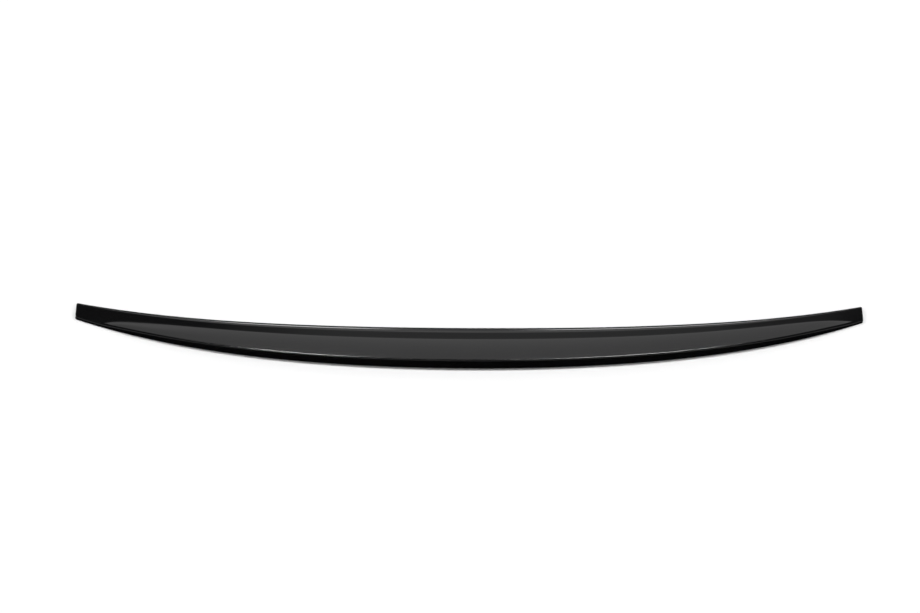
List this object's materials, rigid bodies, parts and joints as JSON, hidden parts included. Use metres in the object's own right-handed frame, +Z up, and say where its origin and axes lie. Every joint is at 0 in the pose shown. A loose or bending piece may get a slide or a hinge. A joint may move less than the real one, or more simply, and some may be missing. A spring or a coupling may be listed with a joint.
{
  "type": "car rear spoiler",
  "caption": "Low gloss black lip spoiler for a boot lid: long curved moulding with a rolled front band, a hollow kick-up face, an upright rear face and square-cut ends.",
  "frame": {"origin": "under the middle of the plan box, in the base plane that sits on the boot lid", "axes": "+X along the length, +Y towards the front of the car, +Z up from the boot lid"},
  "size_m": [1.2, 0.1349, 0.0168],
  "materials": {
    "gloss_black_abs": "gloss"
  },
  "bodies": {
    "root": {"spoiler": "gloss_black_abs"}
  },
  "joints": []
}
